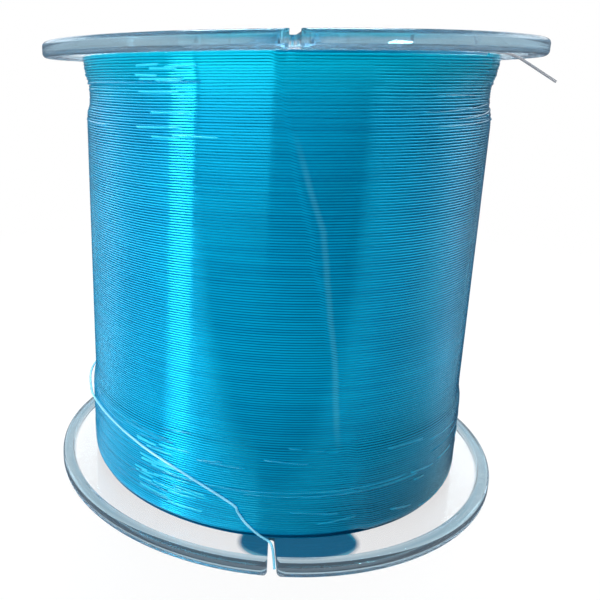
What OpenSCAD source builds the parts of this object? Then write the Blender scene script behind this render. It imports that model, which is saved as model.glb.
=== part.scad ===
// Fishing line spool: a clear barrel with two snap-on flanges, full of monofilament line.
// Millimetres. +Z runs up the spool's axis, and the origin is the centre of the underside.
// The line slots face -Y. Azimuths are in degrees from -Y, turning towards +X.

/* [Spool] */
// Outside diameter of both flanges
flange_d = 110; // [104:1:130]
// Height over both flanges
spool_h = 102.2; // [80:0.2:130]
// Outside diameter of the barrel
barrel_d = 50; // [44:1:60]
// Wall of the barrel
barrel_wall = 2; // [1.6:0.1:3]
// Diameter of the bore for the spindle
spindle_d = 25; // [14:0.5:27]

/* [Flange] */
// Height of the bead round the rim
bead_h = 3.3; // [2.9:0.1:5]
// Width of the bead along the radius
bead_w = 3; // [2.4:0.1:5]
// Rounding of the bead's edges
bead_round = 1; // [0.4:0.1:1.1]
// Thickness of the web inside the bead
web_t = 1.8; // [1.2:0.1:2.2]
// Step from the bead down to the web, on the outside of the spool
web_step = 0.4; // [0.2:0.1:0.6]

/* [Line slot] */
// Width of the slot at its inner end
slot_w = 1.2; // [0.9:0.1:1.6]
// Width of the slot where its rounded mouth begins
slot_mouth_w = 1.9; // [1.7:0.1:3]
// How far the slot runs in from the rim
slot_depth = 11.5; // [9.4:0.1:14]
// Radius of the rounded corners of the mouth
slot_lip = 2; // [1:0.1:3]

/* [Hub] */
// Height of the collar that snaps into the barrel
collar_h = 8; // [6:0.5:14]
// Wall of the collar
collar_wall = 2; // [1.4:0.1:3]
// Radial clearance between collar and barrel
collar_gap = 0.15; // [0.1:0.05:0.25]
// Height of the snap ring above the web
snap_z = 4.5; // [3:0.5:4.5]
// How far the snap ring stands out of the collar
snap_proud = 0.45; // [0.3:0.05:0.6]
// Half height of the snap ring
snap_half = 0.9; // [0.7:0.1:1.2]
// Wall of the spindle boss
boss_wall = 2; // [1.4:0.1:2.5]
// Height of the spindle boss above the web
boss_h = 9; // [6:0.5:16]
// Number of ribs from boss to collar
rib_count = 6; // [3:1:10]
// Thickness of a rib
rib_t = 1.6; // [1:0.1:2.4]
// Height of a rib above the web
rib_h = 6; // [3:0.5:8]

/* [Line] */
// Diameter of the line
line_d = 0.52; // [0.4:0.02:0.56]
// Diameter over the straight middle of the winding
winding_d = 91.6; // [80:0.2:92.6]
// Turns shown in the outer layer
outer_turns = 24; // [16:1:24]
// How far the winding swells at its foot
foot_swell = 0.6; // [0:0.1:0.8]
// How far the winding is drawn in below the upper flange
neck_draw = 0.8; // [0:0.1:1.5]
// How far the last turns ride up against the upper flange
top_flare = 0.5; // [0:0.1:0.8]
// Space between the winding and the upper flange, where the start of the line lies
start_gap = 0.7; // [0.6:0.05:1]

/* [Hidden] */
$fn = 96;

clear_plastic = [0.86, 0.92, 0.95, 0.45];
line_blue = [0.02, 0.48, 0.74];
outer_blue = [0.05, 0.58, 0.84];
end_blue = [0.35, 0.72, 0.9];

cut = 1; // how far a cutter runs past what it cuts
seat = 0.1; // clearance where a soft or thin piece lies on its neighbour

// Flange and hub, worked out from the values above
flange_r = flange_d / 2;
bead_in_r = flange_r - bead_w;
web_top = web_step + web_t;
barrel_r = barrel_d / 2;
bore_r = barrel_r - barrel_wall;
collar_r = bore_r - collar_gap;
boss_r = spindle_d / 2 + boss_wall;
groove_out = snap_proud - collar_gap + seat; // depth of the groove in the barrel
slot_end = flange_r - slot_depth + slot_w / 2; // centre of the slot's round inner end
lip_x = slot_mouth_w / 2 + slot_lip;
lip_y = sqrt(pow(flange_r - slot_lip, 2) - pow(lip_x, 2));
lip_out = (flange_r + cut) / (flange_r - slot_lip); // carries the mouth past the rim

// Winding
winding_r = winding_d / 2;
pack_low = web_top + seat;
pack_high = spool_h - web_top - start_gap;
foot_h = 18; // height of the swollen foot
foot_blend = 5; // height over which the swell dies away
foot_round = 1.6; // how far the foot's last turns draw in
neck_below = 8.4; // depth of the neck's middle below the winding's top
neck_half = 5.5; // half height of the neck
flare_h = 5; // height of the flare
foot_turn_h = 2; // height of the turned-in edge at the foot
profile_step = 2.4; // spacing of the profile's points

// Turns of the outer layer
turn_rings = 24; // rings in one turn
turn_sides = 6;
first_turn_z = pack_high - line_d;
last_turn_z = pack_low + 2 * line_d;
outer_end_az = 100; // where the outer layer ends and the finish end begins
outer_start_az = outer_end_az - outer_turns * 360;

// Smooth step from 0 to 1
function ease(t) = let (u = min(1, max(0, t))) u * u * (3 - 2 * u);
// Smooth hump of height 1 that is nil beyond half from the middle
function hump(d, half) = abs(d) >= half ? 0 : (1 + cos(180 * d / half)) / 2;

// Radius over the finished winding at height z
function winding_radius(z) = winding_r
    + foot_swell * (1 - ease((z - pack_low - foot_h) / foot_blend))
    - foot_round * pow(max(0, 1 - (z - pack_low) / foot_turn_h), 2)
    - neck_draw * hump(z - pack_high + neck_below, neck_half)
    + top_flare * ease((z - pack_high + flare_h) / flare_h);
// Radius of the tube's centre at its rings, and of the core that the flats between rings clear
function turn_radius(z) = winding_radius(z) - line_d / 2;
function core_radius(z) = turn_radius(z) * cos(180 / turn_rings) - line_d / 2 - seat;

// Point at an azimuth, radius and height
function polar(az, r, z) = [r * sin(az), -r * cos(az), z];

// The finish end's turn round the foot and its way down the front:
// azimuth, distance out from the swollen foot, height above the web
finish_turn = [
    [106, -0.2, 1.6], [116, 0.6, 2.8], [135, 0.8, 5.8], [160, 0.8, 9.8], [185, 0.8, 13.3],
    [215, 0.8, 16.3], [245, 0.9, 18], [270, 1, 18.6], [290, 1, 18.6], [303, 0.9, 18.1],
    [313, 0.7, 17.1], [319, 0.6, 16.2], [326, 0.5, 14.9], [337, 0.5, 12.6], [349.4, 0.5, 8.3],
    [351.1, 0.5, 6.6], [353, 0.5, 4.4], [355.7, 0.6, 2.4], [357.9, 0.7, 1.2]
];
// Its last stretch, out along the slot: distance across, distance in from the rim, height above the web
finish_slot = [[-0.5, 7.7, 0.6], [0.1, 6.7, 0], [0.35, 4.8, -0.6], [0.45, 3, -1], [0.5, 1.8, -1.3]];
// The start end under the upper flange's web: azimuth, distance out from the barrel
start_hidden = [[96.5, 1.5], [85.5, 1.9], [77, 3.7], [71.5, 6.6], [68.3, 10.6]];
// Its way out past the rim: azimuth, distance in from the rim, drop
start_free = [[68, 14, 0], [68, 9.5, 0], [68, 8, 0.1], [68, 6.8, 0.45], [68, 5.2, 1.15],
              [68, 3.5, 2.2], [68, 1.8, 3.3], [68, 0.1, 4.4], [68, -1.9, 5.7]];

// ---- Sweeping a round line along points ----
function unit(v) = v / norm(v);
function tangent(p, i) = unit(p[min(len(p) - 1, i + 1)] - p[max(0, i - 1)]);
// One ring of a tube: sides points round p[i], square to the path
function ring(p, i, r, sides) = let (
    t = tangent(p, i),
    a = unit(cross(t, abs(t.z) < 0.9 ? [0, 0, 1] : [1, 0, 0])),
    b = cross(t, a)
) [for (k = [0 : sides - 1]) p[i] + r * (cos(360 * k / sides) * a + sin(360 * k / sides) * b)];

module tube(path, d, sides) {
    rings = len(path);
    points = [for (i = [0 : rings - 1]) each ring(path, i, d / 2, sides)];
    walls = [for (i = [0 : rings - 2], k = [0 : sides - 1]) let (
        a = i * sides + k,
        b = i * sides + (k + 1) % sides
    ) each [[a, a + sides, b + sides], [a, b + sides, b]]];
    first = [for (k = [1 : sides - 2]) [0, k, k + 1]];
    last = [for (k = [1 : sides - 2]) [0, k + 1, k] + (rings - 1) * sides * [1, 1, 1]];
    polyhedron(points, concat(walls, first, last));
}

// Smooth curve through hand-set points, with steps pieces between each pair
function curve_point(p, i, t) = let (
    a = p[max(0, i - 1)],
    b = p[i],
    c = p[i + 1],
    d = p[min(len(p) - 1, i + 2)]
) b + t / 2 * (c - a + t * (2 * a - 5 * b + 4 * c - d + t * (3 * (b - c) + d - a)));
function smooth(p, steps) = concat(
    [for (i = [0 : len(p) - 2], s = [0 : steps - 1]) curve_point(p, i, s / steps)],
    [p[len(p) - 1]]
);
// The same path with straight ends of one diameter
function with_ends(p, d) = let (n = len(p) - 1) concat(
    [p[0] - d * unit(p[1] - p[0])], p, [p[n] + d * unit(p[n] - p[n - 1])]
);

// ---- Flanges ----
// Bead: a bar with rounded edges, turned round the axis
module bead_outline() {
    inner = bead_in_r + bead_round;
    outer = flange_r - bead_round;
    translate([bead_in_r, bead_round]) square([bead_w, bead_h - 2 * bead_round]);
    translate([inner, 0]) square([bead_w - 2 * bead_round, bead_h]);
    for (x = [inner, outer], y = [bead_round, bead_h - bead_round]) translate([x, y]) circle(bead_round);
}

module web_and_bead() {
    rotate_extrude($fn = 180) {
        bead_outline();
        translate([0, web_step]) square([bead_in_r + bead_w / 2, web_t]);
    }
}

// V-shaped slot with a round inner end and a mouth whose corners are rounded into the rim
module slot_outline() {
    translate([0, -slot_end]) circle(d = slot_w);
    polygon([[-slot_w / 2, -slot_end], [slot_w / 2, -slot_end],
             [slot_mouth_w / 2, -lip_y], [-slot_mouth_w / 2, -lip_y]]);
    for (side = [-1, 1]) {
        difference() {
            polygon([[0, -lip_y], [side * lip_x, -lip_y],
                     [side * lip_x, -lip_y] * lip_out, [0, -flange_r - cut]]);
            translate([side * lip_x, -lip_y]) circle(slot_lip);
        }
    }
}

// Collar with its snap ring, spindle boss and the ribs between them
module hub() {
    collar_mid = collar_r - collar_wall / 2;
    boss_mid = boss_r - boss_wall / 2;
    rotate_extrude() {
        translate([collar_r - collar_wall, web_step]) square([collar_wall, web_t + collar_h]);
        translate([0, web_top + snap_z])
            polygon([[collar_mid, -snap_half], [collar_r, -snap_half], [collar_r + snap_proud, 0],
                     [collar_r, snap_half], [collar_mid, snap_half]]);
        translate([boss_r - boss_wall, web_step]) square([boss_wall, web_t + boss_h]);
    }
    for (i = [0 : rib_count - 1])
        rotate([0, 0, i * 360 / rib_count])
            translate([boss_mid, -rib_t / 2, web_step + web_t / 2])
                cube([collar_mid - boss_mid, rib_t, web_t / 2 + rib_h]);
}

module flange() {
    difference() {
        union() {
            web_and_bead();
            hub();
        }
        translate([0, 0, -cut]) cylinder(d = spindle_d, h = web_top + boss_h + 2 * cut);
        translate([0, 0, -cut]) linear_extrude(bead_h + 2 * cut) slot_outline();
    }
}

module lower_flange() {
    color(clear_plastic) flange();
}

module upper_flange() {
    color(clear_plastic) translate([0, 0, spool_h]) mirror([0, 0, 1]) flange();
}

// ---- Barrel ----
// Plain tube between the webs, with a V groove inside each end for the snap ring
module barrel() {
    low = web_top;
    high = spool_h - web_top;
    color(clear_plastic)
        rotate_extrude()
            difference() {
                translate([bore_r, low]) square([barrel_wall, high - low]);
                for (z = [low + snap_z, high - snap_z])
                    translate([bore_r, z])
                        polygon([[-cut, -snap_half], [0, -snap_half], [groove_out, 0],
                                 [0, snap_half], [-cut, snap_half]]);
            }
}

// ---- Line ----
// Wound core under the outer layer
module line_pack() {
    steps = ceil((pack_high - pack_low) / profile_step);
    heights = [for (i = [0 : steps]) pack_low + (pack_high - pack_low) * i / steps];
    color(line_blue)
        rotate_extrude($fn = 180)
            polygon(concat(
                [[barrel_r + seat, pack_low]],
                [for (z = heights) [core_radius(z), z]],
                [[barrel_r + seat, pack_high]]
            ));
}

// One unbroken helix from the upper flange down to the foot
outer_path = let (rings = outer_turns * turn_rings) [for (i = [0 : rings]) let (
    z = first_turn_z + (last_turn_z - first_turn_z) * i / rings
) polar(outer_start_az + 360 * i / turn_rings, turn_radius(z), z)];

module line_outer_layer() {
    color(outer_blue) tube(with_ends(outer_path, line_d), line_d, turn_sides);
}

// Least gap between turns: between rings of the path that are half a turn or more apart
turn_gap = min([for (i = [0 : len(outer_path) - 1 - turn_rings / 2], j = [i + turn_rings / 2 :
    min(len(outer_path) - 1, i + turn_rings * 3 / 2)]) norm(outer_path[i] - outer_path[j])]) - line_d;
echo(str("Least gap between turns of the outer layer: ", turn_gap, " mm"));

// The finish end takes over from the outer layer's last ring
outer_last = let (p = with_ends(outer_path, line_d)) p[len(p) - 1];
outer_way = unit(outer_last - outer_path[len(outer_path) - 1]);
finish_path = with_ends(smooth(concat(
    [outer_last + (seat + line_d) * outer_way],
    [for (p = finish_turn) polar(p[0], winding_r + foot_swell + p[1], web_top + p[2])],
    [for (p = finish_slot) [p[0], -flange_r + p[1], web_top + p[2]]]
), 3), line_d);

module line_finish_end() {
    color(end_blue) tube(finish_path, line_d, 8);
}

start_z = spool_h - web_top - start_gap / 2;
start_path = smooth(concat(
    [for (p = start_hidden) polar(p[0], barrel_r + p[1], start_z)],
    [for (p = start_free) polar(p[0], flange_r - p[1], start_z - p[2])]
), 3);

module line_start_end() {
    color(end_blue) tube(start_path, line_d, 8);
}

lower_flange();
upper_flange();
barrel();
line_pack();
line_outer_layer();
line_finish_end();
line_start_end();
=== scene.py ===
import bpy
import math
import random
from functools import partial
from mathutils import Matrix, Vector


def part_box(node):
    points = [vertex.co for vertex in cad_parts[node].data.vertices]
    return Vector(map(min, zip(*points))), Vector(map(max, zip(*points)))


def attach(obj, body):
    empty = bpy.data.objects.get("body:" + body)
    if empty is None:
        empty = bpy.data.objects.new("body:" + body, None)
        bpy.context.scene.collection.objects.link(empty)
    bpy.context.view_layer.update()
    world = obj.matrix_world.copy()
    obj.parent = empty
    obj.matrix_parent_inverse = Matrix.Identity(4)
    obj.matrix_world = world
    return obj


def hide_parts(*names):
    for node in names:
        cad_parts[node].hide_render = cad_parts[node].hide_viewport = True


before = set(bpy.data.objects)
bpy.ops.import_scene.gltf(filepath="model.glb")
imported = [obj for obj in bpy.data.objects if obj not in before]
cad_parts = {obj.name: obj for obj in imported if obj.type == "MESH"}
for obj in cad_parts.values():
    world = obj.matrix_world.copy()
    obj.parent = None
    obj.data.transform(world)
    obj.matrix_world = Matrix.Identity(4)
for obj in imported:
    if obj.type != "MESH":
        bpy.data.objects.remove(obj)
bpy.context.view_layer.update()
mm = 0.001
print("frame loaded:", len(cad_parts), "nodes")

# Azimuths are in degrees from -Y, where the slots are, turning towards +X.
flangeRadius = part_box("lower_flange")[1].x
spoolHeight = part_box("upper_flange")[1].z
barrelLow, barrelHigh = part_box("barrel")
packLow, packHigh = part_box("line_pack")
webTop = barrelLow.z
barrelRadius = barrelHigh.x
lineDiameter = 0.52 * mm


# small helpers
def polar(azimuth, radius, height):
    turn = math.radians(azimuth)
    return Vector((radius * math.sin(turn), -radius * math.cos(turn), height))


def ease(share):
    share = min(1.0, max(0.0, share))
    return share * share * (3 - 2 * share)


def hump(distance, half):
    return 0.0 if abs(distance) >= half else (1 + math.cos(math.pi * distance / half)) / 2


def smoothPath(points, steps):
    # the curve passes through every point, with steps pieces between each pair
    path = []
    for i in range(len(points) - 1):
        a, b, c, d = (points[min(max(j, 0), len(points) - 1)] for j in range(i - 1, i + 3))
        for k in range(steps):
            t = k / steps
            path.append(b + t / 2 * (c - a + t * (2 * a - 5 * b + 4 * c - d + t * (3 * (b - c) + d - a))))
    path.append(points[-1])
    return path


def linked(obj):
    bpy.context.scene.collection.objects.link(obj)
    return obj


def meshObject(name, points, faces, material=None):
    mesh = bpy.data.meshes.new(name)
    mesh.from_pydata([tuple(p) for p in points], [], faces)
    mesh.update()
    mesh.polygons.foreach_set("use_smooth", [True] * len(mesh.polygons))
    if material:
        mesh.materials.append(material)
    return linked(bpy.data.objects.new(name, mesh))


# node tree helpers, for shader and geometry trees
def addNode(tree, kind, inputs=None, **settings):
    node = tree.nodes.new(kind)
    for label, value in settings.items():
        setattr(node, label, value)
    feedAll(tree, node, inputs or {})
    return node


def feed(tree, socket, value):
    if isinstance(value, bpy.types.NodeSocket):
        tree.links.new(value, socket)
    else:
        socket.default_value = value


def feedAll(tree, node, values):
    for label, value in values.items():
        feed(tree, node.inputs[label], value)


def calc(tree, operation, *terms):
    return addNode(tree, "ShaderNodeMath", dict(enumerate(terms)), operation=operation).outputs[0]


def vectorCalc(tree, operation, *terms, output="Vector"):
    return addNode(tree, "ShaderNodeVectorMath", dict(enumerate(terms)), operation=operation).outputs[output]


def scaled(tree, vector, share):
    node = addNode(tree, "ShaderNodeVectorMath", {0: vector, "Scale": share}, operation="SCALE")
    return node.outputs["Vector"]


def combined(tree, x, y, z):
    return addNode(tree, "ShaderNodeCombineXYZ", {"X": x, "Y": y, "Z": z}).outputs[0]


def noise(tree, place, scale, detail):
    node = addNode(tree, "ShaderNodeTexNoise", {"Vector": place, "Scale": scale, "Detail": detail})
    return node.outputs["Fac"]


def objectPlace(tree):
    return addNode(tree, "ShaderNodeTexCoord").outputs["Object"]


def partsOf(tree, vector):
    # across, along and height
    return list(addNode(tree, "ShaderNodeSeparateXYZ", {"Vector": vector}).outputs)[:3]


def bumped(tree, height, look):
    inputs = {"Height": height, "Distance": look["bumpDistance"], "Strength": look["bump"]}
    return addNode(tree, "ShaderNodeBump", inputs).outputs[0]


def azimuthOf(tree, across, along):
    return calc(tree, "ARCTAN2", across, calc(tree, "MULTIPLY", along, -1.0))


def emptyTree(owner):
    owner.use_nodes = True
    owner.node_tree.nodes.clear()
    return owner.node_tree


def mixColour(tree, share, first, second, blend="MIX"):
    node = addNode(tree, "ShaderNodeMix", data_type="RGBA", blend_type=blend)
    feed(tree, node.inputs["Factor"], share)
    colours = [s for s in node.inputs if s.type == "RGBA"]
    feed(tree, colours[0], first)
    feed(tree, colours[1], second)
    return [s for s in node.outputs if s.type == "RGBA"][0]


def remap(tree, value, fromLow, fromHigh, toLow, toHigh):
    node = addNode(tree, "ShaderNodeMapRange", {0: value, 1: fromLow, 2: fromHigh, 3: toLow, 4: toHigh})
    return node.outputs[0]


def colourRamp(tree, share, stops):
    ramp = addNode(tree, "ShaderNodeValToRGB", {"Fac": share})
    marks = ramp.color_ramp.elements
    marks[0].position, marks[0].color = stops[0]
    marks[1].position, marks[1].color = stops[-1]
    for position, colour in stops[1:-1]:
        marks.new(position).color = colour
    return ramp.outputs["Color"]


def newTree(name, kind, inputs, outputs):
    # an input's value tells its kind; an input without a value has its kind's name instead
    kinds = {float: "Float", int: "Int", tuple: "Color"}
    tree = bpy.data.node_groups.new(name, kind)
    for label, value in inputs.items():
        socketKind = value if isinstance(value, str) else kinds[type(value)]
        socket = tree.interface.new_socket(label, in_out="INPUT", socket_type="NodeSocket" + socketKind)
        if socketKind != value:
            socket.default_value = value
    for label, socketKind in outputs.items():
        tree.interface.new_socket(label, in_out="OUTPUT", socket_type="NodeSocket" + socketKind)
    return tree, addNode(tree, "NodeGroupInput").outputs, addNode(tree, "NodeGroupOutput").inputs


def meshFromTree(name, tree, values, seedMesh=None):
    # runs a geometry tree once and keeps its result as a plain mesh
    seedMesh = seedMesh or bpy.data.meshes.new(name + "Seed")
    holder = linked(bpy.data.objects.new(name + "Holder", seedMesh))
    shaper = holder.modifiers.new("shape", "NODES")
    shaper.node_group = tree
    sockets = {s.name: s.identifier for s in tree.interface.items_tree if s.in_out == "INPUT"}
    for label, value in values.items():
        shaper[sockets[label]] = value
    evaluated = holder.evaluated_get(bpy.context.evaluated_depsgraph_get())
    mesh = bpy.data.meshes.new_from_object(evaluated)
    mesh.name = name
    bpy.data.objects.remove(holder)
    return linked(bpy.data.objects.new(name, mesh))


# camera, which looks down and left by so many degrees
view = dict(place=(-5.42 * mm, -172.51 * mm, 94.4 * mm), down=16.5, left=6.22, lens=42.04, sensor=36,
            shift=(0.2, -0.0215), clip=(0.01, 50))


def addCamera():
    lens = bpy.data.cameras.new("camera")
    lens.lens = view["lens"]
    lens.sensor_width = view["sensor"]
    lens.shift_x, lens.shift_y = view["shift"]
    lens.clip_start, lens.clip_end = view["clip"]
    camera = linked(bpy.data.objects.new("camera", lens))
    camera.location = view["place"]
    camera.rotation_euler = (math.radians(90 - view["down"]), 0, math.radians(view["left"]))
    bpy.context.scene.camera = camera


addCamera()

# floor, room and lamps
stage = dict(floorRadius=3.0, floorSides=96, floorColour=(0.93, 0.94, 0.95, 1), shadowShare=0.07,
             shadowFrom=0.05, shadowTo=0.30, mirrored=(0.10, 0.14, 0.20, 1))
room = dict(
    ambient=(0.05, 0.06, 0.08, 1),
    # sine of the height angle and the colour there, seen through clear plastic or mirrored in anything glossy
    seen=[(0.12, (1, 1, 1, 1)), (0.45, (0.72, 0.76, 0.82, 1)), (0.95, (0.45, 0.49, 0.56, 1))],
    mirrored=[(0.0, (0.05, 0.08, 0.12, 1)), (0.12, (0.15, 0.20, 0.25, 1)), (0.18, (0.88, 0.94, 1, 1)),
              (0.45, (0.88, 0.94, 1, 1)), (0.58, (0.10, 0.13, 0.16, 1))],
    # azimuth and how bright the mirrored wall is there
    walls=[(-180, 0.1), (-137, 0.25), (-118, 0.65), (-98, 0.6), (-82, 0.75), (-68, 0.85), (-50, 0.6),
           (0, 0.5), (70, 0.45), (115, 0.6), (135, 0.2), (180, 0.1)],
    wallStrength=9.0,
)
lamps = dict(
    key=dict(azimuth=-55.5, height=0.46, away=0.95, size=(0.28, 0.95), watts=9.6, colour=(1, 0.99, 0.97)),
    panel=dict(azimuth=-26, height=0.30, away=1.10, size=(0.80, 0.95), watts=7.3, colour=(1, 1, 1)),
    side=dict(azimuth=85, height=0.50, away=1.30, size=(0.80, 0.90), watts=0.7, colour=(0.93, 0.97, 1)),
    over=dict(azimuth=175, height=1.25, away=0.60, size=(0.90, 0.60), watts=30, colour=(1, 1, 1)),
    spark=dict(azimuth=44, height=0.074, away=1.00, size=(0.19, 0.11), watts=9.0, colour=(1, 1, 1),
               shape="ELLIPSE"),
)


def seenDirectly(tree):
    # 1 for rays that show the background, straight or through clear plastic
    path = addNode(tree, "ShaderNodeLightPath").outputs
    return calc(tree, "MAXIMUM", path["Is Camera Ray"], path["Is Transmission Ray"])


def seenMirrored(tree):
    # 1 for rays that a glossy surface throws back, and 0 for those that go through it
    path = addNode(tree, "ShaderNodeLightPath").outputs
    return calc(tree, "GREATER_THAN", path["Is Glossy Ray"], path["Is Transmission Ray"])


def addRoom():
    world = bpy.data.worlds.new("paleRoom")
    bpy.context.scene.world = world
    tree = emptyTree(world)
    across, along, rise = partsOf(tree, addNode(tree, "ShaderNodeTexCoord").outputs["Generated"])
    colour = mixColour(tree, seenDirectly(tree), room["ambient"], colourRamp(tree, rise, room["seen"]))
    mirrored = seenMirrored(tree)
    colour = mixColour(tree, mirrored, colour, colourRamp(tree, rise, room["mirrored"]))
    around = remap(tree, azimuthOf(tree, across, along), -math.pi, math.pi, 0, 1)
    walls = [(azimuth / 360 + 0.5, (level, level, level, 1)) for azimuth, level in room["walls"]]
    wall = calc(tree, "MULTIPLY", colourRamp(tree, around, walls), room["wallStrength"])
    strength = remap(tree, mirrored, 0, 1, 1.0, wall)
    background = addNode(tree, "ShaderNodeBackground", {"Color": colour, "Strength": strength})
    addNode(tree, "ShaderNodeOutputWorld", {"Surface": background.outputs[0]})


def addFloor():
    material = bpy.data.materials.new("paleFloor")
    tree = emptyTree(material)
    lit = addNode(tree, "ShaderNodeBsdfDiffuse", {"Color": stage["floorColour"]})
    mirrored = seenMirrored(tree)
    shown = mixColour(tree, mirrored, (1, 1, 1, 1), stage["mirrored"])
    plain = addNode(tree, "ShaderNodeEmission", {"Color": shown, "Strength": 1.0})
    # the shadow shows near the spool and fades out into plain white
    distance = vectorCalc(tree, "LENGTH", objectPlace(tree), output="Value")
    shadow = remap(tree, distance, stage["shadowFrom"], stage["shadowTo"], stage["shadowShare"], 0.0)
    share = calc(tree, "MULTIPLY", seenDirectly(tree), calc(tree, "SUBTRACT", 1.0, shadow))
    share = calc(tree, "MAXIMUM", share, mirrored)
    mixed = addNode(tree, "ShaderNodeMixShader", {0: share, 1: lit.outputs[0], 2: plain.outputs[0]})
    addNode(tree, "ShaderNodeOutputMaterial", {"Surface": mixed.outputs[0]})
    sides = stage["floorSides"]
    rim = [polar(360 * i / sides, stage["floorRadius"], 0) for i in range(sides)]
    floor = meshObject("floor", rim, [tuple(range(sides))], material)


def addLamp(name, azimuth, height, away, size, watts, colour, shape="RECTANGLE"):
    lamp = bpy.data.lights.new(name, "AREA")
    lamp.shape = shape
    lamp.size, lamp.size_y = size
    lamp.energy = watts
    lamp.color = colour
    holder = linked(bpy.data.objects.new(name, lamp))
    holder.location = polar(azimuth, away, height)
    toSpool = Vector((0, 0, spoolHeight / 2)) - holder.location
    holder.rotation_euler = toSpool.to_track_quat("-Z", "Y").to_euler()
    return holder


def aimLamp(holder, pieces, state):
    # state is INCLUDE to light only these pieces, or EXCLUDE to light all but them
    group = bpy.data.collections.new(holder.name + "Pieces")
    holder.light_linking.receiver_collection = group
    for piece in pieces:
        group.objects.link(piece)
    for entry in group.collection_objects:
        entry.light_linking.link_state = state


addRoom()
addFloor()
lampHolders = {name: addLamp(name, **lamp) for name, lamp in lamps.items()}
print("camera, floor and lamps ready")


# materials
def newMaterial(name):
    material = bpy.data.materials.new(name)
    tree = emptyTree(material)
    surface = addNode(tree, "ShaderNodeBsdfPrincipled")
    out = addNode(tree, "ShaderNodeOutputMaterial", {"Surface": surface.outputs[0]})
    return material, tree, surface, out


def letLampsThrough(tree, surface, out, colour):
    # lamps shine through clear material, taking its tint
    shadow = addNode(tree, "ShaderNodeLightPath").outputs["Is Shadow Ray"]
    clear = addNode(tree, "ShaderNodeBsdfTransparent", {"Color": colour})
    mixed = addNode(tree, "ShaderNodeMixShader", {0: shadow, 1: surface.outputs[0], 2: clear.outputs[0]})
    feed(tree, out.inputs["Surface"], mixed.outputs[0])


# scuffs: how each direction of them is turned and stretched, and how much of the noise shows as a scuff
marksLook = dict(scuffs=((0.4, (1, 0.03, 0.2)), (-0.9, (0.04, 1, 0.2))), scuffScale=900.0, scuffFrom=0.66,
                 scuffTo=0.74, scuffDepth=0.12, waveScale=45.0, waveDepth=0.5)


def addFineMarks():
    # hairline scuffs in two directions and faint flow waves, as handled moulded plastic has
    look = marksLook
    tree, given, out = newTree("fineMarks", "ShaderNodeTree", {
        "Scuff Scale": look["scuffScale"], "Scuff Depth": look["scuffDepth"],
        "Wave Scale": look["waveScale"], "Wave Depth": look["waveDepth"],
    }, {"Scuffs": "Float", "Height": "Float"})
    place = objectPlace(tree)
    hairlines = []
    for turn, stretch in look["scuffs"]:
        inputs = {"Vector": place, "Rotation": (0, 0, turn), "Scale": stretch}
        laid = addNode(tree, "ShaderNodeMapping", inputs).outputs[0]
        grain = noise(tree, laid, given["Scuff Scale"], 2.0)
        hairlines.append(remap(tree, grain, look["scuffFrom"], look["scuffTo"], 0.0, 1.0))
    scuffs = calc(tree, "MAXIMUM", *hairlines)
    cutIn = calc(tree, "MULTIPLY", scuffs, given["Scuff Depth"])
    swell = calc(tree, "MULTIPLY", noise(tree, place, given["Wave Scale"], 1.0), given["Wave Depth"])
    feed(tree, out["Scuffs"], scuffs)
    feed(tree, out["Height"], calc(tree, "SUBTRACT", swell, cutIn))
    return tree


# spread: how strongly Variation acts; footAside, footFull: cosine of the angle off the side where the foot's
# painted shade is darkest
toneLook = dict(cloudScale=38.0, streakAcross=30.0, spread=4.0, footAside=-0.6, footFull=0.7, footRise=5 * mm,
                seamSway=3.0, seamCore=0.3, roughFrom=0.3, roughTo=0.7)
# painted seam highlight: azimuth where it bends, degrees it turns per mm down above and below that, and half
# its width in degrees
seamHighlightLook = dict(azimuth=9.1, slope=0.45, lowSlope=0.15, height=67.7 * mm, half=1.1, low=22 * mm, high=86 * mm,
                fade=9 * mm, colour=(0.14, 0.70, 0.86, 1))
# painted shade on the foot: azimuth of its darkest side, height where it has faded out, and its colour
footShadeLook = dict(azimuth=98, height=38 * mm, colour=(0.0, 0.05, 0.13, 1))


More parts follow.
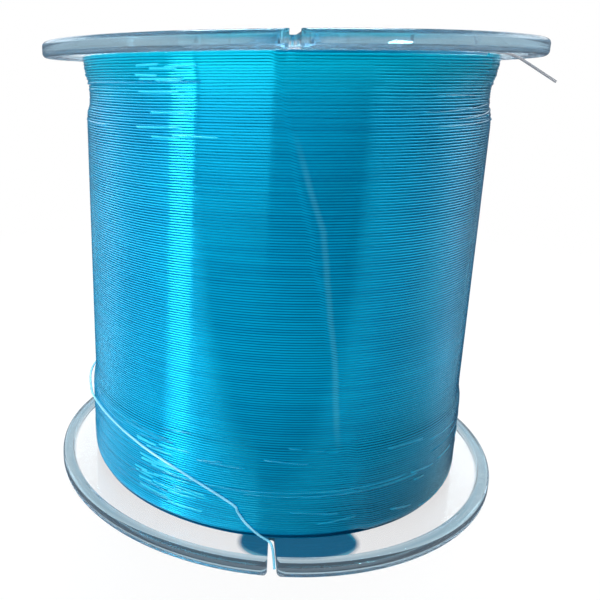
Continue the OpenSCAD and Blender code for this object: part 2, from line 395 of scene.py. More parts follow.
def addLineTone():
    # how wound line changes along its length: slow clouds of depth, finer streaks from turn to turn; also
    # painted light near the upper flange, painted shade towards the foot and on one side of it, and a painted
    # highlight along the seam
    tree, given, out = newTree("lineTone", "ShaderNodeTree", {
        "Deep": (0, 0.2, 0.5, 1), "Bright": (0, 0.4, 0.7, 1), "Streak Height": 1900.0, "Variation": 0.5,
        "Painted Light": (0, 0.5, 0.8, 1), "Painted Light Share": 0.0, "Painted Light From": 0.08, "Painted Light To": 0.1, "Low Shade Share": 0.0,
        "Seam Highlight Share": 0.0, "Seam Highlight Colour": seamHighlightLook["colour"], "Seam Turn": math.radians(seamHighlightLook["azimuth"]),
        "Seam Slope": math.radians(seamHighlightLook["slope"]) / mm, "Seam Height": seamHighlightLook["height"],
        "Low Slope": math.radians(seamHighlightLook["lowSlope"]) / mm, "Seam Half": math.radians(seamHighlightLook["half"]),
        "Seam Low": seamHighlightLook["low"], "Seam High": seamHighlightLook["high"], "Seam Fade": seamHighlightLook["fade"],
        "Foot Shade Share": 0.0, "Foot Shade Colour": footShadeLook["colour"], "Foot Shade Turn": math.radians(footShadeLook["azimuth"]),
        "Foot Shade Height": footShadeLook["height"],
    }, {"Colour": "Color", "Roughness": "Float", "Height": "Float"})
    do = partial(calc, tree)
    look = toneLook
    place = objectPlace(tree)
    across, along, height = partsOf(tree, place)
    turn = azimuthOf(tree, across, along)
    cloud = noise(tree, place, look["cloudScale"], 3.0)
    fineness = combined(tree, look["streakAcross"], look["streakAcross"], given["Streak Height"])
    streak = noise(tree, vectorCalc(tree, "MULTIPLY", place, fineness), 1.0, 2.0)
    both = do("ADD", do("MULTIPLY", cloud, 0.5), do("MULTIPLY", streak, 0.5))
    spread = do("MULTIPLY", do("SUBTRACT", both, 0.5), do("MULTIPLY", given["Variation"], look["spread"]))
    share = addNode(tree, "ShaderNodeClamp", {"Value": do("ADD", spread, 0.5)}).outputs[0]
    colour = mixColour(tree, share, given["Deep"], given["Bright"])
    # turns lie looser near the upper flange; there the colour is painted paler, as painted light, and towards
    # the foot it is painted darker, as painted shade
    loose = remap(tree, height, given["Painted Light From"], given["Painted Light To"], 0.0, given["Painted Light Share"])
    colour = mixColour(tree, loose, colour, given["Painted Light"])
    low = remap(tree, height, 0.0, given["Painted Light From"], given["Low Shade Share"], 0.0)
    colour = mixColour(tree, low, colour, given["Deep"])
    # painted shade: the foot is coloured darker on one side, standing in for the shade there
    facing = do("COSINE", do("SUBTRACT", turn, given["Foot Shade Turn"]))
    foot = remap(tree, facing, look["footAside"], look["footFull"], 0.0, 1.0)
    foot = do("MULTIPLY", foot, given["Foot Shade Share"])
    foot = do("MULTIPLY", foot, remap(tree, height, look["footRise"], given["Foot Shade Height"], 1.0, 0.0))
    colour = mixColour(tree, foot, colour, given["Foot Shade Colour"])
    # painted highlight: a paler streak along the one slanting line where the steps of the turns lie under
    # each other, standing in for the light it catches
    above = do("SUBTRACT", height, given["Seam Height"])
    drift = do("ADD", do("MULTIPLY", do("MAXIMUM", above, 0.0), given["Seam Slope"]),
               do("MULTIPLY", do("MINIMUM", above, 0.0), given["Low Slope"]))
    middle = do("SUBTRACT", given["Seam Turn"], drift)
    sway = do("MULTIPLY", do("SUBTRACT", cloud, 0.5), do("MULTIPLY", given["Seam Half"], look["seamSway"]))
    aside = do("ABSOLUTE", do("SUBTRACT", turn, do("ADD", middle, sway)))
    seam = remap(tree, do("DIVIDE", aside, given["Seam Half"]), look["seamCore"], 1.0, 1.0, 0.0)
    fromEnd = do("MINIMUM", do("SUBTRACT", height, given["Seam Low"]),
                 do("SUBTRACT", given["Seam High"], height))
    near = remap(tree, do("DIVIDE", fromEnd, given["Seam Fade"]), 0.0, 1.0, 0.0, 1.0)
    seam = do("MULTIPLY", do("MULTIPLY", seam, near), given["Seam Highlight Share"])
    feed(tree, out["Colour"], mixColour(tree, seam, colour, given["Seam Highlight Colour"]))
    feed(tree, out["Roughness"], remap(tree, streak, look["roughFrom"], look["roughTo"], 0.0, 1.0))
    feed(tree, out["Height"], streak)
    return tree


fineMarks = addFineMarks()
lineTone = addLineTone()
plasticLook = dict(
    web=(1.0, 1.0, 1.0, 1), rim=(0.31, 0.47, 0.56, 1), rimFrom=flangeRadius - 3.4 * mm,
    rimTo=flangeRadius - 2.4 * mm,
    through=(0.92, 0.95, 0.97, 1), straight=0.14, straightColour=(0.78, 0.84, 0.88, 1), ior=1.54,
    tint=(0.10, 0.34, 0.42, 1), rough=(0.02, 0.22), bump=0.12, bumpDistance=0.2 * mm,
    # painted reflection of the wound line in the lower web, as a blue patch: azimuth and half width in
    # degrees, radius, half depth, how square and soft its edge is
    paintedWebReflection=(0.0, 0.10, 0.23, 1), blueTurn=7, blueHalf=15.5, blueMiddle=flangeRadius - 8.8 * mm,
    blueReach=5.4 * mm, bluePower=2.6, blueInside=0.85, blueOutside=1.1, blueFull=webTop + 2.3 * mm,
    blueBelow=webTop + 2.8 * mm,
    # painted show-through in the upper rim, in teal: azimuth and half width in degrees, and how strong it is
    # below and above its step
    paintedShowThrough=(0.0, 0.30, 0.50, 1), tealTurn=3, tealHalf=32, tealFrom=spoolHeight - 1.8 * mm,
    tealTo=spoolHeight - 1.2 * mm, tealLow=0.4, tealHigh=0.97, tealAbove=0.5 * spoolHeight,
    tealFull=0.6 * spoolHeight,
)


def clearPlastic():
    look = plasticLook
    material, tree, surface, out = newMaterial("clearPlastic")
    do = partial(calc, tree)
    across, along, height = partsOf(tree, objectPlace(tree))
    turn = azimuthOf(tree, across, along)
    reach = do("SQRT", do("ADD", do("MULTIPLY", across, across), do("MULTIPLY", along, along)))
    # the thick rim takes more light than the thin web
    rim = remap(tree, reach, look["rimFrom"], look["rimTo"], 0, 1)
    colour = mixColour(tree, rim, look["web"], look["rim"])
    # painted reflection: in front the lower web is coloured blue, standing in for the wound line mirrored in
    # it
    aside = do("DIVIDE", do("SUBTRACT", turn, math.radians(look["blueTurn"])), math.radians(look["blueHalf"]))
    outward = do("DIVIDE", do("SUBTRACT", reach, look["blueMiddle"]), look["blueReach"])
    edge = do("ADD", *(do("POWER", do("ABSOLUTE", off), look["bluePower"]) for off in (aside, outward)))
    paintedWebReflection = remap(tree, edge, look["blueInside"], look["blueOutside"], 1, 0)
    paintedWebReflection = do("MULTIPLY", paintedWebReflection, remap(tree, height, look["blueFull"], look["blueBelow"], 1, 0))
    colour = mixColour(tree, paintedWebReflection, colour, look["paintedWebReflection"])
    # and painted teal in the upper rim, most of all in its upper half, standing in for the wound line seen
    # through it
    aside = do("ABSOLUTE", do("SUBTRACT", turn, math.radians(look["tealTurn"])))
    paintedShowThrough = remap(tree, aside, math.radians(0.5 * look["tealHalf"]), math.radians(look["tealHalf"]), 1, 0)
    onRim = remap(tree, height, look["tealAbove"], look["tealFull"], 0, 1)
    level = remap(tree, height, look["tealFrom"], look["tealTo"], look["tealLow"], look["tealHigh"])
    paintedShowThrough = do("MULTIPLY", do("MULTIPLY", paintedShowThrough, onRim), level)
    marks = addNode(tree, "ShaderNodeGroup", node_tree=fineMarks).outputs
    feedAll(tree, surface, {
        "Base Color": mixColour(tree, paintedShowThrough, colour, look["paintedShowThrough"]), "Transmission Weight": 1.0,
        "IOR": look["ior"], "Specular Tint": look["tint"],
        "Roughness": remap(tree, marks["Scuffs"], 0, 1, *look["rough"]),
        "Normal": bumped(tree, marks["Height"], look),
    })
    # some light goes straight on, so that none stays trapped in the thick rim
    straight = addNode(tree, "ShaderNodeBsdfTransparent", {"Color": look["straightColour"]}).outputs[0]
    mixed = addNode(tree, "ShaderNodeMixShader", {0: look["straight"], 1: surface.outputs[0], 2: straight})
    letLampsThrough(tree, mixed, out, look["through"])
    return material


# close turns mirror like one smooth wall where they are seen face on, and turn by turn where seen aslant
wallLook = dict(faceOn=0.89, aslant=0.0, bendFrom=0.10, bendTo=0.32,
                # the gap and top entries set the painted shade between the turns
                gapFrom=0.35, gapTo=0.97, gapLevel=0.30, topGapLevel=0.56,
                topCrestLevel=0.79, topFrom=62 * mm, topTo=88 * mm)


def wallNormal(tree):
    # which way the whole winding faces at this point
    return vectorCalc(tree, "NORMALIZE", vectorCalc(tree, "MULTIPLY", objectPlace(tree), (1, 1, 0)))


def paintedGapShade(tree, colour, normal, wall):
    # painted shade: the colour is darker between the turns, where less light gets, than on their crests; they
    # differ less near the upper flange
    look = wallLook
    height = partsOf(tree, objectPlace(tree))[2]
    gapLevel = remap(tree, height, look["topFrom"], look["topTo"], look["gapLevel"], look["topGapLevel"])
    crestLevel = remap(tree, height, look["topFrom"], look["topTo"], 1.0, look["topCrestLevel"])
    crest = vectorCalc(tree, "DOT_PRODUCT", normal, wall, output="Value")
    level = remap(tree, crest, look["gapFrom"], look["gapTo"], gapLevel, crestLevel)
    return mixColour(tree, 1.0, colour, combined(tree, level, level, level), blend="MULTIPLY")


def smoothWall(tree, normal, wall):
    # leans the turns' own normals towards that of the whole winding
    look = wallLook
    bend = addNode(tree, "ShaderNodeLayerWeight", {"Blend": 0.5, "Normal": wall}).outputs["Facing"]
    share = remap(tree, bend, look["bendFrom"], look["bendTo"], look["faceOn"], look["aslant"])
    own = scaled(tree, normal, calc(tree, "SUBTRACT", 1.0, share))
    return vectorCalc(tree, "NORMALIZE", vectorCalc(tree, "ADD", own, scaled(tree, wall, share)))


# what all line has in common; the From and To of the painted light near the upper flange lie that far below
# the upper web
lineLook = dict(
    tint=(1, 1, 1, 1), through=(0.04, 0.78, 0.90, 1), ior=1.53, specular=0.5, metallic=0.0, transmission=0.0,
    rough=(0.05, 0.14), variation=0.5, streakHeight=300.0, bump=0.2, bumpDistance=0.05 * mm,
    paintedLight=(0.0, 0.15, 0.27, 1), paintedLightShare=0.0, paintedLightFrom=11 * mm, paintedLightTo=1 * mm, lowShadeShare=0.0, seamHighlightShare=0.0,
    footShadeShare=0.0,
)
# the wound turns and the core get painted light near the upper flange and painted shade towards and round the
# foot; the outer turns also get a painted highlight along the seam
outerLook = dict(lineLook, deep=(0, 0.26, 0.51, 1), bright=(0, 0.46, 0.76, 1), tint=(0.06, 0.92, 1.0, 1),
                 metallic=0.22, transmission=0.3, paintedLight=(0, 0.52, 0.71, 1), paintedLightShare=0.9, seamHighlightShare=0.20,
                 footShadeShare=1.0, streakHeight=1900.0, bump=0.25)
coreLook = dict(lineLook, deep=(0.0, 0.08, 0.19, 1), bright=(0.0, 0.19, 0.36, 1), tint=(0.1, 0.9, 1.0, 1),
                metallic=0.1, rough=(0.24, 0.42), paintedLightShare=0.5, lowShadeShare=0.6, footShadeShare=1.0, variation=0.6,
                streakHeight=1900.0, bump=0.8)
strandLook = dict(lineLook, deep=(0.0, 0.23, 0.42, 1), bright=(0.0, 0.36, 0.58, 1), tint=(0.3, 0.94, 1.0, 1),
                  through=(0.05, 0.8, 0.92, 1), transmission=0.45)
# painted glints: paler strands, standing in for the highlights they catch
paintedLightLook = dict(strandLook, deep=(0.0, 0.53, 0.74, 1), bright=(0.06, 0.73, 0.89, 1))
# the two ends are the same line: the finish end is paler, partly as a single strand is and partly as a
# painted highlight; the start end is painted dark grey, as painted shade
finishLook = dict(lineLook, deep=(0.16, 0.58, 0.76, 1), bright=(0.42, 0.80, 0.92, 1), transmission=0.5,
                  through=(0.7, 0.9, 0.97, 1), rough=(0.05, 0.12), variation=0.4)
startLook = dict(lineLook, deep=(0.16, 0.16, 0.17, 1), bright=(0.36, 0.36, 0.38, 1), transmission=0.3,
                 through=(0.5, 0.5, 0.52, 1), rough=(0.06, 0.12), variation=0.4)


def lineMaterial(name, look, asWall=False):
    material, tree, surface, out = newMaterial(name)
    tone = addNode(tree, "ShaderNodeGroup", {
        "Deep": look["deep"], "Bright": look["bright"], "Streak Height": look["streakHeight"],
        "Variation": look["variation"], "Painted Light": look["paintedLight"], "Painted Light Share": look["paintedLightShare"],
        "Painted Light From": packHigh.z - look["paintedLightFrom"], "Painted Light To": packHigh.z - look["paintedLightTo"],
        "Low Shade Share": look["lowShadeShare"], "Seam Highlight Share": look["seamHighlightShare"], "Foot Shade Share": look["footShadeShare"],
    }, node_tree=lineTone).outputs
    colour, normal = tone["Colour"], bumped(tree, tone["Height"], look)
    if asWall:
        wall = wallNormal(tree)
        colour = paintedGapShade(tree, colour, normal, wall)
        normal = smoothWall(tree, normal, wall)
    feedAll(tree, surface, {
        "Base Color": colour, "Roughness": remap(tree, tone["Roughness"], 0, 1, *look["rough"]),
        "IOR": look["ior"], "Specular IOR Level": look["specular"], "Specular Tint": look["tint"],
        "Metallic": look["metallic"], "Transmission Weight": look["transmission"], "Normal": normal,
    })
    if look["transmission"]:
        letLampsThrough(tree, surface, out, look["through"])
    return material


plastic = clearPlastic()
turnsLine = lineMaterial("woundLine", outerLook, asWall=True)
coreLine = lineMaterial("innerLine", coreLook)
strandLine = lineMaterial("strandLine", strandLook)
paintedLightLine = lineMaterial("paintedLightLine", paintedLightLook)
finishLine = lineMaterial("finishLine", finishLook)
startLine = lineMaterial("startLine", startLook)
print("materials ready")

# winding: azimuths in degrees; the seam's width, its sway and its drift at each turn as shares of a turn
winding = dict(
    radius=45.8 * mm, footSwell=0.6 * mm, footHeight=18 * mm, footBlend=5 * mm, footRound=1.6 * mm,
    footTurn=2 * mm, neckDraw=0.8 * mm, neckBelow=8.4 * mm, neckHalf=5.5 * mm, topFlare=0.5 * mm,
    flareHeight=5 * mm, pitch=0.523 * mm, rings=96, sections=3, endAzimuth=100,
    seamAzimuth=-3, seamDrift=0.000444, seamWidth=0.006, seamSway=0.012, seamLift=0.05 * mm, ringCrowd=0.8,
    wanderOut=0.07 * mm, wanderUp=0.55 * mm, seed=4.0, outlineSteps=40, outlineRoom=2 * mm,
    # share of the height and how loose the turns lie there: loose near the flanges and tight in the middle
    looseness=[(0, 0.75), (0.1, 0.42), (0.22, 0.2), (0.5, 0.1), (0.78, 0.13), (0.85, 0.6), (0.93, 1.0),
               (1, 0.8)],
)
# slow and fast: how quickly the wandering changes round the winding and from turn to turn, and its seed step
wander = dict(slow=(1.3, 0.13, 0.0), fast=(2.4, 1.9, 3.0), fastUp=0.5, swayDown=7.0, swaySeed=9.0)
layers = dict(
    outer=dict(sides=8, inset=0.0, wanderShare=1.0, dropBy=0.0),
    inner=dict(sides=6, inset=0.87 * lineDiameter, wanderShare=0.6, dropBy=winding["pitch"] / 2),
)


def windingRadius(height):
    # radius over the finished winding
    w = winding
    return (w["radius"] + w["footSwell"] * (1 - ease((height - packLow.z - w["footHeight"]) / w["footBlend"]))
            - w["footRound"] * max(0.0, 1 - (height - packLow.z) / w["footTurn"]) ** 2
            - w["neckDraw"] * hump(height - packHigh.z + w["neckBelow"], w["neckHalf"])
            + w["topFlare"] * ease((height - packHigh.z + w["flareHeight"]) / w["flareHeight"]))


def curveNode(tree, share, points):
    node = addNode(tree, "ShaderNodeFloatCurve", {"Value": share})
    curve = node.mapping.curves[0]
    curve.points[0].location = points[0]
    curve.points[-1].location = points[-1]
    for point in points[1:-1]:
        curve.points.new(*point)
    node.mapping.update()
    return node.outputs[0]


def windingTree():
    w = winding
    tree, given, out = newTree("windTurns", "GeometryNodeTree", {
        "First Turn": 0.0, "Turns": 10, "Rings Per Turn": 96, "Sides": 8, "Line Diameter": 0.0005,
        "Top Height": 0.1, "Low Height": 0.0, "Pitch": 0.0005, "Start Azimuth": 0.0, "Seam Azimuth": 0.0,
        "Seam Width": 0.02, "Seam Sway": 0.0, "Seam Lift": 0.0, "Seam Drift": 0.0, "Ring Crowd": 0.0,
        "Wander Out": 0.0, "Wander Up": 0.0, "Inset": 0.0, "Seed": 0.0, "Material": "Material",
    }, {"Geometry": "Geometry"})
    do = partial(calc, tree)

    def cloud(x, y, z, seedStep):
        seed = do("ADD", given["Seed"], seedStep)
        place = combined(tree, x, y, z)
        inputs = {"Vector": place, "W": seed, "Scale": 1.0, "Detail": 1.0}
        colour = addNode(tree, "ShaderNodeTexNoise", inputs, noise_dimensions="4D").outputs["Color"]
        parts = addNode(tree, "FunctionNodeSeparateColor", {"Color": colour}).outputs
        return [do("SUBTRACT", part, 0.5) for part in list(parts)[:2]]

    # how many turns down from the top each point is
    index = addNode(tree, "GeometryNodeInputIndex").outputs[0]
    turns = do("ADD", do("DIVIDE", index, given["Rings Per Turn"]), given["First Turn"])
    azimuth = do("ADD", do("MULTIPLY", turns, math.tau), given["Start Azimuth"])
    # rings lie closest together round the seam
    offSeam = do("SINE", do("SUBTRACT", azimuth, given["Seam Azimuth"]))
    azimuth = do("SUBTRACT", azimuth, do("MULTIPLY", given["Ring Crowd"], offSeam))
    plainHeight = do("SUBTRACT", given["Top Height"], do("MULTIPLY", turns, given["Pitch"]))
    span = do("SUBTRACT", given["Top Height"], given["Low Height"])
    share = do("DIVIDE", do("SUBTRACT", plainHeight, given["Low Height"]), span)
    # each turn lies level and steps down to the next in a short seam
    sway = cloud(do("MULTIPLY", share, wander["swayDown"]), 0.0, 0.0, wander["swaySeed"])[0]
    seam = do("ADD", do("DIVIDE", given["Seam Azimuth"], math.tau), do("MULTIPLY", sway, given["Seam Sway"]))
    seam = do("ADD", seam, do("MULTIPLY", turns, given["Seam Drift"]))
    past = do("SUBTRACT", do("DIVIDE", azimuth, math.tau), seam)
    whole = do("FLOOR", past)
    part = do("SUBTRACT", past, whole)
    stepDown = addNode(tree, "ShaderNodeMapRange", {
        0: part, 1: do("SUBTRACT", 1.0, given["Seam Width"]), 2: 1.0, 3: 0.0, 4: 1.0,
    }, interpolation_type="SMOOTHSTEP").outputs[0]
    startPast = do("SUBTRACT", do("DIVIDE", given["Start Azimuth"], math.tau),
                   do("DIVIDE", given["Seam Azimuth"], math.tau))
    level = do("SUBTRACT", do("ADD", whole, stepDown), startPast)
    # and rides up a little on the turn it steps past
    climb = do("MULTIPLY", do("MULTIPLY", stepDown, do("SUBTRACT", 1.0, stepDown)),
               do("MULTIPLY", given["Seam Lift"], 4.0))
    looseness = curveNode(tree, share, w["looseness"])
    sine, cosine = do("SINE", azimuth), do("COSINE", azimuth)

    def wandering(around, byTurn, seedStep):
        return cloud(do("MULTIPLY", sine, around), do("MULTIPLY", cosine, around),
                     do("MULTIPLY", turns, byTurn), seedStep)

    slow, fast = wandering(*wander["slow"]), wandering(*wander["fast"])
    outward = do("ADD", slow[0], fast[0])
    upward = do("ADD", slow[1], do("MULTIPLY", fast[1], wander["fastUp"]))
    # shape of the whole winding
    low, high = w["radius"] - w["outlineRoom"], w["radius"] + w["outlineRoom"]
    outline = []
    for i in range(w["outlineSteps"] + 1):
        s = i / w["outlineSteps"]
        outline.append((s, (windingRadius(packLow.z + s * (packHigh.z - packLow.z)) - low) / (high - low)))
    radius = do("ADD", do("MULTIPLY", curveNode(tree, share, outline), high - low), low)
    radius = do("SUBTRACT", radius, do("ADD", given["Inset"], do("MULTIPLY", given["Line Diameter"], 0.5)))
    radius = do("ADD", radius, climb)
    radius = do("ADD", radius, do("MULTIPLY", outward, do("MULTIPLY", looseness, given["Wander Out"])))
    height = do("SUBTRACT", given["Top Height"], do("MULTIPLY", level, given["Pitch"]))
    height = do("ADD", height, do("MULTIPLY", upward, do("MULTIPLY", looseness, given["Wander Up"])))
    height = do("MINIMUM", do("MAXIMUM", height, given["Low Height"]), given["Top Height"])
    across, along = do("MULTIPLY", radius, sine), do("MULTIPLY", do("MULTIPLY", radius, cosine), -1.0)
    count = do("ADD", do("MULTIPLY", given["Turns"], given["Rings Per Turn"]), 1.0)
    points = addNode(tree, "GeometryNodeMeshLine", {"Count": count})
    inputs = {"Geometry": points.outputs[0], "Position": combined(tree, across, along, height)}
    placed = addNode(tree, "GeometryNodeSetPosition", inputs)
    path = addNode(tree, "GeometryNodeMeshToCurve", {"Mesh": placed.outputs[0]})
    finishTube(tree, path.outputs[0], given, out)
    return tree


def finishTube(tree, path, given, out):
    # sweeps the round line along the path and closes its ends
    outline = addNode(tree, "GeometryNodeCurvePrimitiveCircle", {
        "Resolution": given["Sides"], "Radius": calc(tree, "MULTIPLY", given["Line Diameter"], 0.5)})
    inputs = {"Curve": path, "Profile Curve": outline.outputs[0], "Fill Caps": True}
    swept = addNode(tree, "GeometryNodeCurveToMesh", inputs)
    smooth = addNode(tree, "GeometryNodeSetShadeSmooth", {"Geometry": swept.outputs[0]})
    real = addNode(tree, "GeometryNodeRealizeInstances", {"Geometry": smooth.outputs[0]}).outputs[0]
    painted = addNode(tree, "GeometryNodeSetMaterial", {"Geometry": real, "Material": given["Material"]})
    feed(tree, out["Geometry"], painted.outputs[0])


def roundLineTree():
    tree, given, out = newTree("roundLine", "GeometryNodeTree", {
        "Path": "Geometry", "Line Diameter": 0.0005, "Sides": 8, "Material": "Material",
    }, {"Geometry": "Geometry"})
    path = addNode(tree, "GeometryNodeMeshToCurve", {"Mesh": given["Path"]})
    finishTube(tree, path.outputs[0], given, out)
    return tree


roundLine = roundLineTree()


def lineAlong(name, paths, material, sides=8):
    # one mesh with a length of line along each path
    points, edges = [], []
    for path in paths:
        first = len(points)
        points += [tuple(p) for p in path]
        edges += [(i, i + 1) for i in range(first, len(points) - 1)]
    mesh = bpy.data.meshes.new(name + "Paths")
    mesh.from_pydata(points, edges, [])
    values = {"Line Diameter": lineDiameter, "Sides": sides, "Material": material}
    return meshFromTree(name, roundLine, values, mesh)


def buildTurns(name, material, sides, inset, wanderShare, dropBy):
    # one layer of turns, in sections that each stay a light mesh
    w = winding
    top = packHigh.z - lineDiameter / 2 - dropBy
    low = packLow.z + lineDiameter / 2
    turns = int((top - low) / w["pitch"])
    startAzimuth = math.radians(w["endAzimuth"]) - math.tau * turns
    pieces = []
    first = 0
    for i in range(w["sections"]):
        last = turns * (i + 1) // w["sections"]
        pieces.append(meshFromTree(f"{name}{i + 1}", windTurns, {
            "First Turn": float(first), "Turns": last - first, "Rings Per Turn": w["rings"], "Sides": sides,
            "Line Diameter": lineDiameter, "Top Height": top, "Low Height": low, "Pitch": w["pitch"],
            "Start Azimuth": startAzimuth, "Seam Azimuth": math.radians(w["seamAzimuth"]),
            "Seam Width": w["seamWidth"], "Seam Sway": w["seamSway"], "Seam Lift": w["seamLift"],
            "Seam Drift": w["seamDrift"], "Ring Crowd": w["ringCrowd"], "Inset": inset,
            "Wander Out": w["wanderOut"] * wanderShare, "Wander Up": w["wanderUp"] * wanderShare,
            "Seed": w["seed"], "Material": material,
        }))
        first = last
    print(name + ":", turns, "turns,", sum(len(p.data.polygons) for p in pieces), "faces")
    return pieces


def revolve(name, outline, segments, material):
    # outline: closed list of (radius, height); normals point out for an anticlockwise outline
    points = [polar(360 * i / segments, r, z) for i in range(segments) for r, z in outline]
    count = len(outline)
    faces = []
    for i in range(segments):
        j = (i + 1) % segments
        for k in range(count):
            m = (k + 1) % count
            faces.append((i * count + k, j * count + k, j * count + m, i * count + m))
    return meshObject(name, points, faces, material)


# under: line diameters from the winding's outside in; cornersPerLayer gives each layer's edge its shape
coreShape = dict(under=1.75, steps=72, segments=160, layer=lineDiameter, cornersPerLayer=3,
                 layerDepth=0.16 * mm, clear=-0.04 * mm, offBarrel=0.1 * mm)


def buildCore():
    # packed line under the outer turns, with the edges of its layers showing on both faces
    c = coreShape
    inner = barrelRadius + c["offBarrel"]
    side = []
    for i in range(c["steps"] + 1):
        height = packLow.z + (packHigh.z - packLow.z) * i / c["steps"]
        side.append((windingRadius(height) - lineDiameter * c["under"], height))
    corners = c["cornersPerLayer"]
    ends = []
    for i in range(int((side[-1][0] - inner) / c["layer"]) * corners):
        edge = 1 - abs(math.sin(math.pi * i / corners))
        ends.append((inner + c["layer"] * i / corners, c["clear"] + c["layerDepth"] * edge))
    foot = [(r, packLow.z + d) for r, d in ends]
    head = [(r, packHigh.z - d) for r, d in reversed(ends)]
    return revolve("woundCore", foot + side + head, c["segments"], coreLine)


windTurns = windingTree()
outerTurns = buildTurns("outerTurns", turnsLine, **layers["outer"])
innerTurns = buildTurns("innerTurns", turnsLine, **layers["inner"])
core = buildCore()
print("winding ready")

# loose strands: how proud they lie, how far their ends dive (in line diameters) over which share of their
# length, and how near the webs they come
loose = dict(
    proud=0.06 * mm, shortProud=0.12 * mm, stepTurn=3.5, leastSteps=8, dive=1.1, diveShare=0.07,
    underTop=0.4 * mm, overWeb=0.5 * mm,
    # counts, lengths in degrees, where they start, how high they lie and how far they drop
    long=[
        dict(count=9, low=85 * mm, high=98 * mm, length=(35, 80), start=(-165, -95), drop=2.0 * mm, seed=11),
        dict(count=8, low=85 * mm, high=98 * mm, length=(35, 80), start=(30, 95), drop=2.0 * mm, seed=12),
        dict(count=6, low=86 * mm, high=98 * mm, length=(50, 90), start=(110, 190), drop=2.0 * mm, seed=13),
        dict(count=9, low=4 * mm, high=20 * mm, length=(35, 120), start=(-180, 180), drop=4 * mm, seed=5),
        dict(count=12, low=7 * mm, high=23 * mm, length=(60, 90), start=(-140, -105), drop=2 * mm, seed=17),
    ],
    short=[
        dict(count=60, low=5 * mm, high=24 * mm, length=(5, 20), start=(-180, 180), drop=1.2 * mm, seed=8),
        dict(count=20, low=86 * mm, high=98 * mm, length=(3, 9), start=(50, 300), drop=0.35 * mm, seed=20),
    ],
    # painted glints: these strands take the paler colour, standing in for highlights
    paintedLight=[
        dict(count=11, low=84 * mm, high=97 * mm, length=(8, 18), start=(-43, -27), drop=0.3 * mm, seed=21),
        dict(count=22, low=6 * mm, high=20 * mm, length=(5, 13), start=(-42, -28), drop=0.5 * mm, seed=31),
    ],
)


def strand(azStart, azEnd, heightStart, heightEnd, proud):
    # lies a little proud of the turns and dives between them at both ends
    steps = max(loose["leastSteps"], int(abs(azEnd - azStart) / loose["stepTurn"]))
    path = []
    for i in range(steps + 1):
        t = i / steps
        height = heightStart + (heightEnd - heightStart) * ease(t)
        dive = lineDiameter * loose["dive"] * (1 - min(1.0, min(t, 1 - t) / loose["diveShare"])) ** 2
        radius = windingRadius(height) - lineDiameter / 2 + proud - dive
        path.append(polar(azStart + (azEnd - azStart) * t, radius, height))
    return path


def looseStrands(name, groups, proud, material):
    lowest, highest = packLow.z + loose["overWeb"], packHigh.z - loose["underTop"]
    paths = []
    for group in groups:
        draw = random.Random(group["seed"])
        for _ in range(group["count"]):
            start = draw.uniform(*group["start"])
            length = draw.uniform(*group["length"])
            height = draw.uniform(group["low"], group["high"])
            end = height + draw.uniform(-group["drop"], group["drop"])
            end = min(highest, max(lowest, end))
            paths.append(strand(start, start + length, height, end, proud))
    print(name + ":", len(paths))
    return lineAlong(name, paths, material)


strands = [
    looseStrands("longStrands", loose["long"], loose["proud"], strandLine),
    looseStrands("shortStrands", loose["short"], loose["shortProud"], strandLine),
    looseStrands("paintedLightStrands", loose["paintedLight"], loose["shortProud"], paintedLightLine),
]

# the line's two ends, as smooth paths through points
lineEnds = dict(sides=12, stepsPerPoint=6)
# finish end: one slack turn round the foot, then out through the lower slot
# azimuth, distance out from the swollen foot (mm), height above the web (mm)
finishTurn = [
    (106, -0.2, 1.6), (116, 0.6, 2.8), (135, 0.8, 5.8), (160, 0.8, 9.8), (185, 0.8, 13.3),
    (215, 0.8, 16.3), (245, 0.9, 18), (270, 1, 18.6), (290, 1, 18.6), (303, 0.9, 18.1),
    (313, 0.7, 17.1), (319, 0.6, 16.2), (326, 0.5, 14.9), (337, 0.5, 12.6), (349.4, 0.5, 8.3),
    (351.1, 0.5, 6.6), (353, 0.5, 4.4), (355.7, 0.6, 2.4), (357.9, 0.7, 1.2),
]
# across, in from the rim, height above the web (mm)
finishSlot = [(-0.5, 7.7, 0.6), (0.1, 6.7, 0), (0.35, 4.8, -0.6), (0.45, 3, -1), (0.5, 1.8, -1.3)]


def buildFinishEnd():
    foot = winding["radius"] + winding["footSwell"]
    lowest = packLow.z + lineDiameter / 2
    points = [polar(winding["endAzimuth"], windingRadius(lowest) - lineDiameter / 2, lowest)]
    points += [polar(a, foot + out * mm, webTop + up * mm) for a, out, up in finishTurn]
    points += [Vector((x * mm, -flangeRadius + d * mm, webTop + up * mm)) for x, d, up in finishSlot]
    path = smoothPath(points, lineEnds["stepsPerPoint"])
    return lineAlong("finishEnd", [path], finishLine, sides=lineEnds["sides"])


# start end: from beside the barrel under the upper web, out past the rim
# azimuth, distance out from the barrel (mm)
startHidden = [(96.5, 1.5), (85.5, 1.9), (77, 3.7), (71.5, 6.6), (68.3, 10.6)]
# azimuth, distance in from the rim, drop (mm)
startFree = [(68, 14, 0), (68, 9.5, 0), (68, 8, 0.1), (68, 6.8, 0.45), (68, 5.2, 1.15),
             (68, 3.5, 2.2), (68, 1.8, 3.3), (68, 0.1, 4.4), (68, -1.9, 5.7)]


def buildStartEnd():
    height = (barrelHigh.z + packHigh.z) / 2
    points = [polar(a, barrelRadius + out * mm, height) for a, out in startHidden]
    points += [polar(a, flangeRadius - d * mm, height - drop * mm) for a, d, drop in startFree]
    path = smoothPath(points, lineEnds["stepsPerPoint"])
    piece = lineAlong("startEnd", [path], startLine, sides=lineEnds["sides"])
    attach(piece, "root")
    return piece


finishEnd = buildFinishEnd()
startEnd = buildStartEnd()

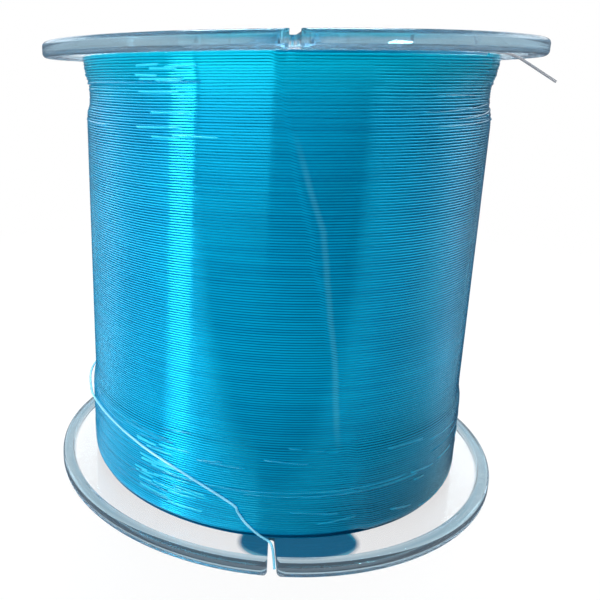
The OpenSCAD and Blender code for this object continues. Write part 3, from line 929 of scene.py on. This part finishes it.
# flanges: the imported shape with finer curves
flange = dict(
    beadWidth=3 * mm, beadHeight=3.3 * mm, beadRound=1 * mm, webStep=0.4 * mm, webThick=1.8 * mm,
    collarRadius=22.85 * mm, collarWall=2 * mm, collarHeight=8 * mm, snapHeight=4.5 * mm, snapProud=0.45 * mm,
    snapHalf=0.9 * mm, boreRadius=12.5 * mm, bossWall=2 * mm, bossHeight=9 * mm,
    ribs=6, ribThick=1.6 * mm, ribHeight=6 * mm, segments=540, arcSteps=10, sharpFrom=30,
)
slot = dict(width=1.2 * mm, mouthWidth=1.9 * mm, depth=11.5 * mm, lip=2 * mm, cut=1 * mm, arcSteps=20)


def arc(centre, radius, fromTurn, toTurn, steps):
    turns = [math.radians(fromTurn + (toTurn - fromTurn) * i / steps) for i in range(steps + 1)]
    return [(centre[0] + radius * math.cos(t), centre[1] + radius * math.sin(t)) for t in turns]


def flangeOutline():
    # web, bead, collar with its snap ring, and spindle boss, as one closed line
    f = flange
    r, steps = f["beadRound"], f["arcSteps"]
    inner, outer = flangeRadius - f["beadWidth"], flangeRadius
    top, web = f["beadHeight"], f["webStep"] + f["webThick"]
    low = math.degrees(math.asin(1 - f["webStep"] / r))
    collar, snap = f["collarRadius"], web + f["snapHeight"]
    boss = f["boreRadius"] + f["bossWall"]
    return [
        (f["boreRadius"], f["webStep"]), *arc((inner + r, r), r, 180 + low, 270, steps),
        *arc((outer - r, r), r, 270, 360, steps), *arc((outer - r, top - r), r, 0, 90, steps),
        *arc((inner + r, top - r), r, 90, 180, steps), (inner, web), (collar, web),
        (collar, snap - f["snapHalf"]), (collar + f["snapProud"], snap), (collar, snap + f["snapHalf"]),
        (collar, web + f["collarHeight"]),
        (collar - f["collarWall"], web + f["collarHeight"]), (collar - f["collarWall"], web), (boss, web),
        (boss, web + f["bossHeight"]), (f["boreRadius"], web + f["bossHeight"]),
    ]


def slotOutline():
    # V-shaped, with a round inner end and lips rounded into the rim
    s = slot
    end = flangeRadius - s["depth"] + s["width"] / 2
    lipAcross = s["mouthWidth"] / 2 + s["lip"]
    lipOut = math.sqrt((flangeRadius - s["lip"]) ** 2 - lipAcross ** 2)
    tilt = math.degrees(math.atan2(lipAcross, lipOut))
    right = arc((lipAcross, -lipOut), s["lip"], 180, 270 + tilt, s["arcSteps"])
    past = (flangeRadius + s["cut"]) / flangeRadius
    right.append((right[-1][0] * past, right[-1][1] * past))
    left = [(-x, y) for x, y in reversed(right)]
    return right + left + arc((0, -end), s["width"] / 2, 180, 0, s["arcSteps"])


def prism(name, outline, low, high):
    count = len(outline)
    points = [(x, y, z) for z in (low, high) for x, y in outline]
    faces = [tuple(range(count)), tuple(range(2 * count - 1, count - 1, -1))]
    faces += [(i + count, (i + 1) % count + count, (i + 1) % count, i) for i in range(count)]
    return meshObject(name, points, faces)


def ribPrism(index):
    f = flange
    turn = math.tau * index / f["ribs"]
    near = f["boreRadius"] + f["bossWall"] / 2
    far = f["collarRadius"] - f["collarWall"] / 2
    half = f["ribThick"] / 2
    corners = [(near, half), (far, half), (far, -half), (near, -half)]
    sine, cosine = math.sin(turn), math.cos(turn)
    outline = [(x * cosine - y * sine, x * sine + y * cosine) for x, y in corners]
    web = f["webStep"] + f["webThick"]
    return prism("rib", outline, web - f["webThick"] / 2, web + f["ribHeight"])


def joinShapes(base, shapes, operation):
    for shape in shapes:
        change = base.modifiers.new(shape.name, "BOOLEAN")
        change.operation = operation
        change.solver = "EXACT"
        change.object = shape
    mesh = bpy.data.meshes.new_from_object(base.evaluated_get(bpy.context.evaluated_depsgraph_get()))
    base.modifiers.clear()
    base.data = mesh
    for shape in shapes:
        bpy.data.objects.remove(shape)


def buildFlange(name, turnedOver):
    piece = revolve(name, flangeOutline(), flange["segments"], plastic)
    joinShapes(piece, [ribPrism(i) for i in range(flange["ribs"])], "UNION")
    notch = prism("slot", slotOutline(), -slot["cut"], flange["beadHeight"] + slot["cut"])
    joinShapes(piece, [notch], "DIFFERENCE")
    mesh = piece.data
    if turnedOver:
        for vertex in mesh.vertices:
            vertex.co.z = spoolHeight - vertex.co.z
        mesh.flip_normals()
    mesh.materials.clear()
    mesh.materials.append(plastic)
    mesh.polygons.foreach_set("use_smooth", [True] * len(mesh.polygons))
    mesh.set_sharp_from_angle(angle=math.radians(flange["sharpFrom"]))
    print(name + ":", len(mesh.polygons), "faces")
    return piece


lowerFlange = buildFlange("lowerFlange", False)
upperFlange = buildFlange("upperFlange", True)
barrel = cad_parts["barrel"]
barrel.data.materials.clear()
barrel.data.materials.append(plastic)

# the tall lamp would show as a white square in the rims, and the small one is only for their highlight
aimLamp(lampHolders["key"], [lowerFlange, upperFlange], "EXCLUDE")
aimLamp(lampHolders["spark"], [lowerFlange, upperFlange], "INCLUDE")

# what rides on what
for piece in [*outerTurns, *innerTurns, *strands, core, finishEnd, lowerFlange, upperFlange]:
    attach(piece, "root")
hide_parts("lower_flange")
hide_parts("upper_flange")
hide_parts("line_pack")
for piece in outerTurns:
    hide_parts("line_outer_layer")
for piece in innerTurns:
    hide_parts("line_pack")
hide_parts("line_finish_end")
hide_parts("line_start_end")

bpy.context.scene.view_settings.view_transform = "Standard"
